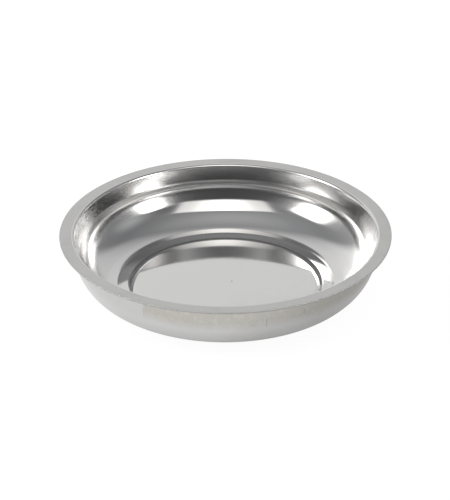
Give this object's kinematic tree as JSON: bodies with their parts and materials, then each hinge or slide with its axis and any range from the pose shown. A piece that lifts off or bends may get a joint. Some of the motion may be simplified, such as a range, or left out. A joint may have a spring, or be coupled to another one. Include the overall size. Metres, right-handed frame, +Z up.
{
  "type": "magnetic parts tray",
  "caption": "Round pressed-steel dish with a flat rim and a raised floor centre, held on a rubber-booted ring magnet, for keeping loose screws and small parts.",
  "frame": {"origin": "centre of the rubber boot's underside, on the surface that the tray stands on", "axes": "+Z up along the stud's axis and out of the dish's mouth; the tray is round, so +X and +Y are free"},
  "size_m": [0.15, 0.15, 0.0355],
  "materials": {
    "stainless": "polished inside, satin rim and outside",
    "stud_steel": "plain turned",
    "foam": "matte foam",
    "ferrite": "ground grey ferrite",
    "rubber": "matte moulded",
    "zinc_steel": "bright zinc",
    "spring_steel": "oiled dark"
  },
  "bodies": {
    "magnet_base": {"rubber_boot": "rubber", "ring_magnet": "ferrite", "mounting_pad": "foam"},
    "tray": {"dish": "stainless", "weld_stud": "stud_steel", "clamp_plate": "zinc_steel", "spring_washer": "spring_steel", "lock_nut": "zinc_steel"}
  },
  "joints": [
    {"name": "dish_swivel", "type": "hinge", "parent": "magnet_base", "child": "tray", "pos_m": [0, 0, 0.0094], "axis": [0, 0, 1], "continuous": true}
  ]
}
